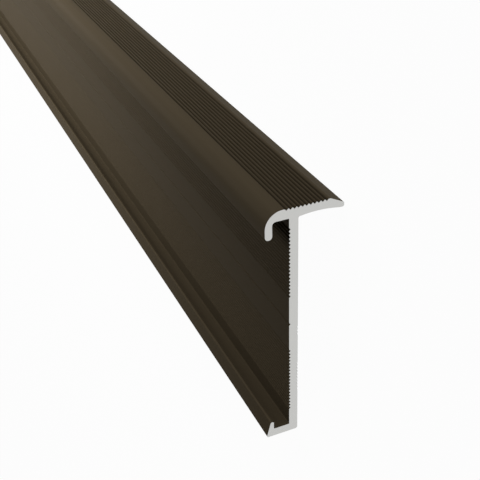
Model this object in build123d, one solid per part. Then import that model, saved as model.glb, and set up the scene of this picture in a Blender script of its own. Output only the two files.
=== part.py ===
from build123d import *

import os
from math import asin, atan2, degrees, hypot, sqrt

# Aluminium stair nose: one extruded section, sawn to length, with no other piece.
# The section is drawn as it is fitted to a step, with y back over the tread and z up, and with its zero
# at the front face of the web and the underside of the foot. Unheld, it tips over on to its back, so it is
# stored lying: X runs along it, the tread side is at +Y, the foot at -Y, and the panel channel opens upwards.

# Driving dimensions in millimetres
length = 900.0               # a cut length that such profiles are sold in
height = 65.0                # foot underside to tread surface

web_thickness = 2.3          # upright plate that covers the riser's edge
deck_thickness = 2.6         # plate along the top, over the panel and over the tread

# Hook at the front of the deck, which hangs over the top edge of the riser panel
hook_reach = 5.95            # web front to the hook's outer face
hook_thickness = 1.8
hook_drop = 6.95             # tread surface to the hook's lower end
hook_nose_radius = 4.4       # large round that the foot treads on
hook_root_radius = 0.95      # inside the hook, under the deck

# Foot and lip, which hold the lower edge of the riser panel
foot_thickness = 2.25
lip_gap = 4.3                # web front to the lip's inner face
lip_height = 4.55            # above the foot's underside
lip_tip_width = 0.85         # across the top of the lip, before it is rounded
lip_base_reach = 6.35        # web front to the corner where the leaning outer face meets the underside
lip_root_radius = 0.3
lip_base_radius = 0.45

# Flange at the back of the deck: a ridge, a bevel and a rounded tip over a hollow underside
flange_reach = 11.5          # web back to the tip
bevel_width = 3.5            # ridge to tip
bevel_drop = 1.75            # tread surface to the top of the tip
tip_thickness = 1.1
heel_width = 1.2             # flat under the tip, which bears on the tread covering
hollow_start = 0.6           # web back to the start of the hollow
hollow_depth = 0.43          # rise of the hollow above its two ends

ridge_radius = 0.5
web_root_radius = 0.45       # behind the web, under the flange
inside_corner_radius = 0.2   # in the panel channel, at the web
back_corner_radius = 0.55    # below the web, at the back

# Anti-slip grooves along the tread, right-angled, from the front of the deck to the ridge
groove_pitch = 1.0
groove_depth = 0.45
groove_front_setback = 5.3   # hook's outer face to the first groove
groove_ridge_land = 0.7      # least plain land between the last groove and the ridge

# Keying notches on the web, right-angled, in two bands above and below a drill line
notch_pitch = 1.0
notch_depth = 0.38
notch_deck_margin = 2.8      # deck underside to the highest notch
notch_foot_margin = 5.35     # top of the foot to the lowest notch
notch_plain_half = 8.0       # plain face kept on each side of the drill line

# Keying notches on the back of the web, each band measured down from the drill line
back_notch_depth = 0.3
short_band_start = 1.45
short_band_count = 3
long_band_start = 12.5
long_band_count = 9

# Places that follow from the sizes above
web_back = web_thickness
tip_y = web_back + flange_reach
ridge_y = tip_y - bevel_width
heel_y = tip_y - heel_width
deck_underside = height - deck_thickness
tip_top = height - bevel_drop
tip_underside = tip_top - tip_thickness
hook_end = height - hook_drop
hook_inner_face = hook_thickness - hook_reach
lip_tip_outer = -lip_gap - lip_tip_width
hollow_y = web_back + hollow_start

# Full rounds on the thin ends, kept just short of half their thickness
hook_end_radius = 0.49 * hook_thickness
lip_tip_radius = 0.5 * lip_tip_width
tip_radius = 0.45 * tip_thickness
nose_radius = min(hook_nose_radius, 0.9 * (hook_drop - hook_end_radius))

# Corners of the section from the heel over the top, down the front and up the back, each with its radius
corners = [
    (tip_y, tip_underside, tip_radius),
    (tip_y, tip_top, tip_radius),
    (ridge_y, height, ridge_radius),
    (-hook_reach, height, nose_radius),
    (-hook_reach, hook_end, hook_end_radius),
    (hook_inner_face, hook_end, hook_end_radius),
    (hook_inner_face, deck_underside, hook_root_radius),
    (0, deck_underside, inside_corner_radius),
    (0, foot_thickness, inside_corner_radius),
    (-lip_gap, foot_thickness, lip_root_radius),
    (-lip_gap, lip_height, lip_tip_radius),
    (lip_tip_outer, lip_height, lip_tip_radius),
    (-lip_base_reach, 0, lip_base_radius),
    (web_back, 0, back_corner_radius),
    (web_back, deck_underside, web_root_radius),
]
heel = (heel_y, tip_underside)
hollow_end = (hollow_y, deck_underside)
hollow_crown = (
    (heel_y + hollow_y) / 2,
    (tip_underside + deck_underside) / 2 + hollow_depth,
)

outline = FilletPolyline(
    heel,
    *[(y, z) for y, z, radius in corners],
    hollow_end,
    radius=[radius for y, z, radius in corners],
)
hollow = ThreePointArc(hollow_end, hollow_crown, heel)
section = make_face(outline.edges() + hollow.edges())


def cut_vees(face, places, depth):
    # A square on its corner, centred on the surface, leaves a right-angled groove of this depth
    side = depth * sqrt(2)
    return face - [Pos(y, z) * Rectangle(side, side, rotation=45) for y, z in places]


# Anti-slip grooves
first_groove = groove_front_setback - hook_reach
groove_count = 1 + int((ridge_y - groove_ridge_land - first_groove) / groove_pitch)
section = cut_vees(
    section,
    [(first_groove + groove_pitch * i, height) for i in range(groove_count)],
    groove_depth,
)

# Keying notches on the front of the web, with the drill line midway
lowest_notch = foot_thickness + notch_foot_margin
highest_notch = deck_underside - notch_deck_margin
drill_line = (lowest_notch + highest_notch) / 2
band_count = 1 + round((highest_notch - drill_line - notch_plain_half) / notch_pitch)
front_heights = [drill_line]
for i in range(band_count):
    offset = notch_plain_half + notch_pitch * i
    front_heights += [drill_line - offset, drill_line + offset]
section = cut_vees(section, [(0, z) for z in front_heights], notch_depth)

# Keying notches on the back of the web
back_heights = []
for start, count in ((short_band_start, short_band_count), (long_band_start, long_band_count)):
    back_heights += [drill_line - start - notch_pitch * i for i in range(count)]
section = cut_vees(section, [(web_back, z) for z in back_heights], back_notch_depth)

# It lies on the round below the web and the round under the tip: lean is the angle that their common
# tangent, the floor, makes with the back of the web
rise_y = (tip_y - tip_radius) - (web_back - back_corner_radius)
rise_z = (tip_underside + tip_radius) - back_corner_radius
lean = atan2(rise_y, rise_z) - asin((back_corner_radius - tip_radius) / hypot(rise_y, rise_z))

# Lay the section on its back, rest it on zero, centre it across and extrude it to both sides
lying = Rot(Z=degrees(lean) - 90) * section
box = lying.bounding_box()
lying = Pos(-box.center().X, -box.min.Y) * lying
stair_nose = extrude(Plane.YZ * lying, amount=length / 2, both=True)

os.makedirs("parts", exist_ok=True)
export_step(stair_nose, "parts/stair_nose.step")

print("grooves", groove_count, "front notches", len(front_heights), "back notches", len(back_heights))
print("section area %.1f mm2, drill line %.2f mm up the web" % (section.area, drill_line))
print("lies with its web leaning %.3f degrees" % degrees(lean))
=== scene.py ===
import bpy
import math
from mathutils import Matrix, Vector


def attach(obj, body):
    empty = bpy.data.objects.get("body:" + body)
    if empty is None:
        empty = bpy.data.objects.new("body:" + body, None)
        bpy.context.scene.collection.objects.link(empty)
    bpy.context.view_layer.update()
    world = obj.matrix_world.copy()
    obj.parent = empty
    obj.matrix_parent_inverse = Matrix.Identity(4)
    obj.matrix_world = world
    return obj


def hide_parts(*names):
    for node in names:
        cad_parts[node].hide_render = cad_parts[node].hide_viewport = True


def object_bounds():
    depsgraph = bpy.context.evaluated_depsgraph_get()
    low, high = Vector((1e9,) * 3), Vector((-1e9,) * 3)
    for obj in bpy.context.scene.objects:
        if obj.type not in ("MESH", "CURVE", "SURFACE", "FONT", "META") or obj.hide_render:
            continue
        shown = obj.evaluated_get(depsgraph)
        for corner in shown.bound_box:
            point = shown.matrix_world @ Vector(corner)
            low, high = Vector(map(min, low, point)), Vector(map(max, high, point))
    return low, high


# Aluminium stair nose, lying on its back with the panel channel upwards
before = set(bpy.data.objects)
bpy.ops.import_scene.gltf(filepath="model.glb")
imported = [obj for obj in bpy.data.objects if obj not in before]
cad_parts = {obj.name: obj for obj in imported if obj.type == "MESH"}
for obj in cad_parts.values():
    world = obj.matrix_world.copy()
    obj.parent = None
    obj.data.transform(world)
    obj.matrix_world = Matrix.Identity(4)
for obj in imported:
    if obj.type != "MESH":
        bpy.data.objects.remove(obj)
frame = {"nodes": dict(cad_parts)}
cadBox = [Vector(corner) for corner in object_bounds()]
mm = 0.001
print("frame loaded:", ", ".join(frame["nodes"]))


# sRGB hex to the linear colour that the shaders want
def linear(hexColour):
    channels = [int(hexColour[i:i + 2], 16) / 255 for i in (1, 3, 5)]
    return [c / 12.92 if c <= 0.04045 else ((c + 0.055) / 1.055) ** 2.4 for c in channels] + [1.0]


# Adds one node: settings are its own properties, inputs are values or the sockets that feed it
def addNode(tree, kind, inputs=None, **settings):
    node = tree.nodes.new(kind)
    for name, value in settings.items():
        setattr(node, name, value)
    for key, value in (inputs or {}).items():
        if isinstance(value, bpy.types.NodeSocket):
            tree.links.new(value, node.inputs[key])
        else:
            node.inputs[key].default_value = value
    return node


def newMaterial(name):
    material = bpy.data.materials.new(name)
    material.use_nodes = True
    material.node_tree.nodes.clear()
    return material, material.node_tree


bronzeSkin = {
    "colour": "#524838",
    "streakColour": "#5a503f",
    "grooveShadeColour": "#342d21",   # painted shade: the floors of the tread's grooves are darkened, standing in for the shade that falls in them
    "edgeTint": "#959595",       # sealed oxide keeps the metal's glancing shine down
    "metallic": 0.03,
    "specular": 0.006,           # low, for a matt look
    "roughness": 0.5,
    "roughnessSpread": 0.05,     # more or less of it from line to line
    "dieLineMm": 0.35,           # width of the faint lines that the extrusion die leaves
    "dieLineRunMm": 400.0,       # how far one runs along the profile
    "grainMm": 0.12,             # etched grain under the anodising
    "grainDepthMm": 0.02,
    "grainStrength": 0.08,
}


# Anodised aluminium, dark bronze: etched to a satin before dyeing, so its brown comes from dye in a matt
# oxide skin, with little shine of the metal below except where you look along it, and faint die lines
# down its length
def anodisedBronze():
    b = bronzeSkin
    material, tree = newMaterial("anodised_aluminium_dark_bronze")
    place = addNode(tree, "ShaderNodeTexCoord")
    across = 1 / (b["dieLineMm"] * mm)
    lines = addNode(tree, "ShaderNodeMapping", {
        "Vector": place.outputs["Object"], "Scale": (1 / (b["dieLineRunMm"] * mm), across, across),
    })
    streak = addNode(tree, "ShaderNodeTexNoise", {
        "Vector": lines.outputs["Vector"], "Scale": 1.0, "Detail": 3.0, "Roughness": 0.6,
    })
    grain = addNode(tree, "ShaderNodeTexNoise", {
        "Vector": place.outputs["Object"], "Scale": 1 / (b["grainMm"] * mm), "Detail": 2.0,
    })
    tone = addNode(tree, "ShaderNodeMix", {
        "Factor": streak.outputs["Fac"], 6: linear(b["colour"]), 7: linear(b["streakColour"]),
    }, data_type="RGBA")
    # painted shade: the colour darkens towards the tread's groove floors, which the grooveDepth attribute
    # marks
    sunk = addNode(tree, "ShaderNodeAttribute", attribute_name="grooveDepth")
    shaded = addNode(tree, "ShaderNodeMix", {
        "Factor": sunk.outputs["Fac"], 6: tone.outputs[2], 7: linear(b["grooveShadeColour"]),
    }, data_type="RGBA")
    rough = addNode(tree, "ShaderNodeMapRange", {
        "Value": streak.outputs["Fac"],
        "To Min": b["roughness"] - b["roughnessSpread"], "To Max": b["roughness"] + b["roughnessSpread"],
    })
    bump = addNode(tree, "ShaderNodeBump", {
        "Height": grain.outputs["Fac"], "Strength": b["grainStrength"], "Distance": b["grainDepthMm"] * mm,
    })
    shader = addNode(tree, "ShaderNodeBsdfPrincipled", {
        "Base Color": shaded.outputs[2], "Metallic": b["metallic"], "Roughness": rough.outputs["Result"],
        "Specular IOR Level": b["specular"], "Specular Tint": linear(b["edgeTint"]),
        "Normal": bump.outputs["Normal"],
    })
    addNode(tree, "ShaderNodeOutputMaterial", {"Surface": shader.outputs["BSDF"]})
    return material


sawnEnd = {
    "colour": "#c4c4c2",
    "markColour": "#cececb",
    "roughness": 0.5,
    "sawMarkMm": 0.45,           # spacing of the saw's marks
    "markDepthMm": 0.02,
    "markStrength": 0.1,
}


# Bare aluminium, sawn: pale matt metal with fine marks across it
def sawnAluminium():
    s = sawnEnd
    material, tree = newMaterial("bare_aluminium_sawn")
    place = addNode(tree, "ShaderNodeTexCoord")
    # a diagonal wave turns by 10 for each unit of x + y + z, and its bands cross the end at 45 degrees
    turnAcross = 10 * math.sqrt(2)
    marks = addNode(tree, "ShaderNodeTexWave", {
        "Vector": place.outputs["Object"], "Scale": 2 * math.pi / (turnAcross * s["sawMarkMm"] * mm),
        "Distortion": 2.0, "Detail": 2.0, "Detail Scale": 1.5,
    }, bands_direction="DIAGONAL")
    tone = addNode(tree, "ShaderNodeMix", {
        "Factor": marks.outputs["Fac"], 6: linear(s["colour"]), 7: linear(s["markColour"]),
    }, data_type="RGBA")
    bump = addNode(tree, "ShaderNodeBump", {
        "Height": marks.outputs["Fac"], "Strength": s["markStrength"], "Distance": s["markDepthMm"] * mm,
    })
    shader = addNode(tree, "ShaderNodeBsdfPrincipled", {
        "Base Color": tone.outputs[2], "Metallic": 1.0, "Roughness": s["roughness"],
        "Normal": bump.outputs["Normal"],
    })
    addNode(tree, "ShaderNodeOutputMaterial", {"Surface": shader.outputs["BSDF"]})
    return material


bronze = anodisedBronze()
bareEnd = sawnAluminium()
print("materials made:", bronze.name, bareEnd.name)


# The section in millimetres as it is fitted to a step: y back over the tread from the front of the web,
# z up from the underside of the foot. The sizes are the solid's own.
nose = {
    "height": 65.0, "web": 2.3, "deck": 2.6,
    "hookReach": 5.95, "hookThickness": 1.8, "hookDrop": 6.95, "hookNose": 4.4, "hookRoot": 0.95,
    "foot": 2.25, "lipGap": 4.3, "lipHeight": 4.55, "lipTip": 0.85, "lipBase": 6.35,
    "lipRootRound": 0.3, "lipBaseRound": 0.45,
    "flangeReach": 11.5, "bevelWidth": 3.5, "bevelDrop": 1.75, "tipThickness": 1.1,
    "heel": 1.2, "hollowStart": 0.6, "hollowDepth": 0.43, "hollowSteps": 20,
    "ridgeRound": 0.5, "webRootRound": 0.45, "insideRound": 0.2, "backRound": 0.55,
    # rounds at the ends of thin walls, as shares of the wall
    "tipShare": 0.45, "hookShare": 0.49, "lipShare": 0.5,
    "groovePitch": 1.0, "grooveDepth": 0.45, "grooveCount": 11, "grooveSetback": 5.3,
    "notchPitch": 1.0, "notchDepth": 0.38, "bandCount": 19, "drillLine": 33.6, "plainHalf": 8.0,
    "backNotchDepth": 0.3, "backBands": ((1.45, 3), (12.5, 9)),
    "veeRound": 0.05,            # a drawn groove isn't knife-sharp
    "veeSteps": 2, "roundSteps": 12, "lengthSteps": 31,
    "crispDegrees": 35.0,        # edges sharper than this aren't smoothed over
    "hair": 0.01,                # heights closer than this are the same
}


# Points of right-angled vees along one face, in the order given: inward is into the metal
def vees(centres, depth, along, inward):
    points = []
    for centre in centres:
        for offset, sink in ((-depth, 0), (0, depth), (depth, 0)):
            spot = Vector(centre) + Vector(along) * offset + Vector(inward) * sink
            points.append((spot.x, spot.y, nose["veeRound"]))
    return points


# Corners of the section with their rounds, from the flange's tip over the top, down the front, up the back
# and out along the underside of the flange, and how far the section leans when it lies on its back
def sectionCorners():
    n = nose
    tipY = n["web"] + n["flangeReach"]
    heelY = tipY - n["heel"]
    tipTop = n["height"] - n["bevelDrop"]
    tipUnder = tipTop - n["tipThickness"]
    tipRound = n["tipShare"] * n["tipThickness"]
    under = n["height"] - n["deck"]
    hookEnd = n["height"] - n["hookDrop"]
    hookInner = n["hookThickness"] - n["hookReach"]
    hookRound = n["hookShare"] * n["hookThickness"]
    lipRound = n["lipShare"] * n["lipTip"]
    firstGroove = n["grooveSetback"] - n["hookReach"]
    grooves = [(firstGroove + n["groovePitch"] * i, n["height"]) for i in reversed(range(n["grooveCount"]))]
    bandOffsets = [n["plainHalf"] + n["notchPitch"] * i for i in range(n["bandCount"])]
    offsets = sorted([0.0] + bandOffsets + [-o for o in bandOffsets], reverse=True)
    notches = [(0, n["drillLine"] + o) for o in offsets]
    bands = [(start, i) for start, count in n["backBands"] for i in range(count)]
    backOffsets = sorted(-start - n["notchPitch"] * i for start, i in bands)
    backNotches = [(n["web"], n["drillLine"] + o) for o in backOffsets]
    corners = [
        (tipY, tipUnder, tipRound),
        (tipY, tipTop, tipRound),
        (tipY - n["bevelWidth"], n["height"], n["ridgeRound"]),
    ]
    corners += vees(grooves, n["grooveDepth"], (-1, 0), (0, -1))
    corners += [
        (-n["hookReach"], n["height"], n["hookNose"]),
        (-n["hookReach"], hookEnd, hookRound),
        (hookInner, hookEnd, hookRound),
        (hookInner, under, n["hookRoot"]),
        (0, under, n["insideRound"]),
    ]
    corners += vees(notches, n["notchDepth"], (0, -1), (1, 0))
    corners += [
        (0, n["foot"], n["insideRound"]),
        (-n["lipGap"], n["foot"], n["lipRootRound"]),
        (-n["lipGap"], n["lipHeight"], lipRound),
        (-n["lipGap"] - n["lipTip"], n["lipHeight"], lipRound),
        (-n["lipBase"], 0, n["lipBaseRound"]),
        (n["web"], 0, n["backRound"]),
    ]
    corners += vees(backNotches, n["backNotchDepth"], (0, 1), (-1, 0))
    corners += [(n["web"], under, n["webRootRound"])]
    # shallow hollow under the flange, from the web's root to the heel
    startY = n["web"] + n["hollowStart"]
    for i in range(n["hollowSteps"] + 1):
        t = i / n["hollowSteps"]
        sag = 4 * t * (1 - t) * n["hollowDepth"]
        corners.append((startY + (heelY - startY) * t, under + (tipUnder - under) * t + sag, 0))
    # the floor is the common tangent of the rounds below the web and under the tip
    riseY = (tipY - tipRound) - (n["web"] - n["backRound"])
    riseZ = (tipUnder + tipRound) - n["backRound"]
    lean = math.atan2(riseY, riseZ) - math.asin((n["backRound"] - tipRound) / math.hypot(riseY, riseZ))
    return corners, lean


# Rounds the corners of a section, sweeps it along Z and closes its ends
def profileTree():
    tree = bpy.data.node_groups.new("sweptProfile", "GeometryNodeTree")
    tree.interface.new_socket("Geometry", in_out="OUTPUT", socket_type="NodeSocketGeometry")
    kinds = {
        "Section": "NodeSocketGeometry", "Length": "NodeSocketFloat", "Length steps": "NodeSocketInt",
        "Skin": "NodeSocketMaterial", "Cut end": "NodeSocketMaterial",
    }
    for name, kind in kinds.items():
        tree.interface.new_socket(name, in_out="INPUT", socket_type=kind)
    given = addNode(tree, "NodeGroupInput").outputs
    radius = addNode(tree, "GeometryNodeInputNamedAttribute", {"Name": "cornerRadius"}, data_type="FLOAT")
    steps = addNode(tree, "GeometryNodeInputNamedAttribute", {"Name": "cornerSteps"}, data_type="INT")
    wire = addNode(tree, "GeometryNodeMeshToCurve", {"Mesh": given["Section"]})
    rounded = addNode(tree, "GeometryNodeFilletCurve", {
        "Curve": wire.outputs["Curve"], "Count": steps.outputs["Attribute"],
        "Radius": radius.outputs["Attribute"], "Limit Radius": True,
    }, mode="POLY")
    half = addNode(tree, "ShaderNodeMath", {0: given["Length"], 1: 0.5}, operation="MULTIPLY")
    minus = addNode(tree, "ShaderNodeMath", {0: half.outputs[0], 1: -1.0}, operation="MULTIPLY")
    farEnd = addNode(tree, "ShaderNodeCombineXYZ", {"Z": minus.outputs[0]})
    nearEnd = addNode(tree, "ShaderNodeCombineXYZ", {"Z": half.outputs[0]})
    line = addNode(tree, "GeometryNodeCurvePrimitiveLine", {
        "Start": farEnd.outputs["Vector"], "End": nearEnd.outputs["Vector"],
    })
    path = addNode(tree, "GeometryNodeResampleCurve", {
        "Curve": line.outputs["Curve"], "Count": given["Length steps"],
    })
    swept = addNode(tree, "GeometryNodeCurveToMesh", {
        "Curve": path.outputs["Curve"], "Profile Curve": rounded.outputs["Curve"], "Fill Caps": True,
    })
    # an end faces along the sweep, every other face across it
    halfway = 0.5
    normal = addNode(tree, "GeometryNodeInputNormal")
    parts = addNode(tree, "ShaderNodeSeparateXYZ", {"Vector": normal.outputs["Normal"]})
    facing = addNode(tree, "ShaderNodeMath", {0: parts.outputs["Z"]}, operation="ABSOLUTE")
    isEnd = addNode(tree, "FunctionNodeCompare", {
        0: facing.outputs[0], 1: halfway,
    }, operation="GREATER_THAN")
    filled = addNode(tree, "GeometryNodeTriangulate", {
        "Mesh": swept.outputs["Mesh"], "Selection": isEnd.outputs[0],
    })
    smooth = addNode(tree, "GeometryNodeSetShadeSmooth", {
        "Geometry": filled.outputs["Mesh"], "Shade Smooth": True,
    })
    angle = addNode(tree, "GeometryNodeInputMeshEdgeAngle")
    crisp = addNode(tree, "FunctionNodeCompare", {
        0: angle.outputs["Unsigned Angle"], 1: math.radians(nose["crispDegrees"]),
    }, operation="GREATER_THAN")
    edged = addNode(tree, "GeometryNodeSetShadeSmooth", {
        "Geometry": smooth.outputs["Geometry"], "Selection": crisp.outputs[0], "Shade Smooth": False,
    }, domain="EDGE")
    real = addNode(tree, "GeometryNodeRealizeInstances", {"Geometry": edged.outputs["Geometry"]})
    skinned = addNode(tree, "GeometryNodeSetMaterial", {
        "Geometry": real.outputs["Geometry"], "Material": given["Skin"],
    })
    ended = addNode(tree, "GeometryNodeSetMaterial", {
        "Geometry": skinned.outputs["Geometry"], "Selection": isEnd.outputs[0], "Material": given["Cut end"],
    })
    addNode(tree, "NodeGroupOutput", {"Geometry": ended.outputs["Geometry"]})
    return tree


def boxOf(mesh):
    spots = [v.co for v in mesh.vertices]
    return [Vector(pick(spot[i] for spot in spots) for i in range(3)) for pick in (min, max)]


# Draws the section, sweeps it and lays it down, and gives the move from the fitted section to the lying piece
def makeStairNose():
    corners, lean = sectionCorners()
    count = len(corners)
    wire = bpy.data.meshes.new("sectionWire")
    spots = [(y * mm, z * mm, 0) for y, z, r in corners]
    wire.from_pydata(spots, [(i, (i + 1) % count) for i in range(count)], [])
    stepsFor = {0: 0, nose["veeRound"]: nose["veeSteps"]}
    # marks the floors of the tread's grooves, where the skin takes its painted groove shade
    grooveFloor = nose["height"] - nose["grooveDepth"]
    sunk = [abs(z - grooveFloor) < nose["hair"] for y, z, r in corners]
    attributes = {
        "cornerRadius": ("FLOAT", [r * mm for y, z, r in corners]),
        "cornerSteps": ("INT", [stepsFor.get(r, nose["roundSteps"]) for y, z, r in corners]),
        "grooveDepth": ("FLOAT", [1.0 if deep else 0.0 for deep in sunk]),
    }
    for name, (kind, values) in attributes.items():
        wire.attributes.new(name, kind, "POINT").data.foreach_set("value", values)
    drawn = bpy.data.objects.new("sectionWire", wire)
    bpy.context.scene.collection.objects.link(drawn)
    tree = profileTree()
    sweep = drawn.modifiers.new("sweep", "NODES")
    sweep.node_group = tree
    inputs = {
        "Length": cadBox[1].x - cadBox[0].x, "Length steps": nose["lengthSteps"],
        "Skin": bronze, "Cut end": bareEnd,
    }
    for socket in tree.interface.items_tree:
        if socket.in_out == "INPUT" and socket.name in inputs:
            sweep[socket.identifier] = inputs[socket.name]
    # flats stay flat beside their rounds
    weighted = drawn.modifiers.new("flatFaces", "WEIGHTED_NORMAL")
    weighted.keep_sharp = True
    mesh = bpy.data.meshes.new_from_object(drawn.evaluated_get(bpy.context.evaluated_depsgraph_get()))
    bpy.data.objects.remove(drawn)
    # section axes y, z and length to the row's Y, Z and X, then over on to its back
    upright = Matrix(((0, 0, 1, 0), (1, 0, 0, 0), (0, 1, 0, 0), (0, 0, 0, 1)))
    lay = Matrix.Rotation(lean - math.pi / 2, 4, "X") @ upright
    mesh.transform(lay)
    low, high = boxOf(mesh)
    shiftY = (cadBox[0].y + cadBox[1].y - low.y - high.y) / 2
    drop = Matrix.Translation((0, shiftY, cadBox[0].z - low.z))
    mesh.transform(drop)
    piece = bpy.data.objects.new("stairNose", mesh)
    bpy.context.scene.collection.objects.link(piece)
    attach(piece, "root")
    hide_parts("stair_nose")
    print("stair nose swept:", count, "corners,", len(mesh.polygons), "faces")
    return drop @ lay


toRow = makeStairNose()

# The view, in the fitted section's axes: millimetres across, up and out from the near cut end
shot = {
    "eye": (-74.166, 157.410, 149.690), "view": (0.3295, -0.5146, -0.7916), "up": (0.2291, 0.8569, -0.4617),
    "lens": 65.48, "sensor": 36.0, "clipStart": 0.01,
}


def addCamera():
    data = bpy.data.cameras.new("camera")
    data.lens = shot["lens"]
    data.sensor_width = shot["sensor"]
    data.clip_start = shot["clipStart"]
    camera = bpy.data.objects.new("camera", data)
    bpy.context.scene.collection.objects.link(camera)
    nearEnd = Vector((0, 0, cadBox[1].x))
    back = -(toRow.to_3x3() @ Vector(shot["view"])).normalized()
    up = toRow.to_3x3() @ Vector(shot["up"])
    right = up.cross(back).normalized()
    turn = Matrix((right, back.cross(right), back)).transposed().to_4x4()
    camera.matrix_world = Matrix.Translation(toRow @ (Vector(shot["eye"]) * mm + nearEnd)) @ turn
    bpy.context.scene.camera = camera


studio = {
    "white": "#ffffff",
    "paper": "#f7f7f7",
    "floorSize": 60.0,
    "floorWhite": 0.97,          # share of plain white in the floor, the rest takes the shadow
    "floorBounce": 0.4,          # what the white floor throws back at the piece
    "skyFill": 0.03,             # what the sky throws at it
    # strip lights hung beside the profile: name, length and width, place, watts
    "strips": (
        ("overWeb", (0.95, 0.08), (-0.145, 0.055, 0.165), 0.83),
        ("overDeck", (0.95, 0.3), (-0.4, 0.9, 0.35), 7.0),
    ),
}


# Strength of a white that is plain to the camera and in reflections, and lights the piece at a set level
def whiteStrength(tree, lightLevel):
    path = addNode(tree, "ShaderNodeLightPath").outputs
    seen = addNode(tree, "ShaderNodeMath", {0: path["Is Camera Ray"], 1: path["Is Glossy Ray"]})
    shown = addNode(tree, "ShaderNodeMath", {
        0: seen.outputs[0], 1: path["Is Transmission Ray"],
    }, use_clamp=True)
    level = addNode(tree, "ShaderNodeMapRange", {
        "Value": shown.outputs[0], "To Min": lightLevel, "To Max": 1.0,
    })
    return level.outputs["Result"]


# White studio: a floor that keeps a soft shadow, a white sky and two strip lights
def addStudio():
    scene = bpy.context.scene
    mesh = bpy.data.meshes.new("floor")
    s = studio["floorSize"] / 2
    mesh.from_pydata([(-s, -s, 0), (s, -s, 0), (s, s, 0), (-s, s, 0)], [], [(0, 1, 2, 3)])
    floor = bpy.data.objects.new("floor", mesh)
    scene.collection.objects.link(floor)
    # White paper, matt: plain white to the eye, with a little shade where the piece lies on it
    material, tree = newMaterial("paper_white_matt")
    paper = addNode(tree, "ShaderNodeBsdfDiffuse", {"Color": linear(studio["paper"])})
    white = addNode(tree, "ShaderNodeEmission", {
        "Color": linear(studio["white"]), "Strength": whiteStrength(tree, studio["floorBounce"]),
    })
    mixed = addNode(tree, "ShaderNodeMixShader", {
        0: studio["floorWhite"], 1: paper.outputs[0], 2: white.outputs[0],
    })
    addNode(tree, "ShaderNodeOutputMaterial", {"Surface": mixed.outputs[0]})
    # the white is only what a ray meets, never a lamp
    material.cycles.emission_sampling = "NONE"
    mesh.materials.append(material)

    world = bpy.data.worlds.new("studio")
    world.use_nodes = True
    tree = world.node_tree
    tree.nodes.clear()
    sky = addNode(tree, "ShaderNodeBackground", {
        "Color": linear(studio["white"]), "Strength": whiteStrength(tree, studio["skyFill"]),
    })
    addNode(tree, "ShaderNodeOutputWorld", {"Surface": sky.outputs[0]})
    world.cycles.sampling_method = "NONE"
    scene.world = world

    for name, (long, wide), place, watts in studio["strips"]:
        data = bpy.data.lights.new(name, "AREA")
        data.shape = "RECTANGLE"
        data.size, data.size_y = long, wide
        data.energy = watts
        lamp = bpy.data.objects.new(name, data)
        lamp.location = place
        # turned about the profile to face it
        lamp.rotation_euler = (math.atan2(-place[1], place[2]), 0, 0)
        lamp.visible_camera = False
        scene.collection.objects.link(lamp)
    scene.view_settings.view_transform = "Standard"


addCamera()
addStudio()
print("camera, floor and light set")
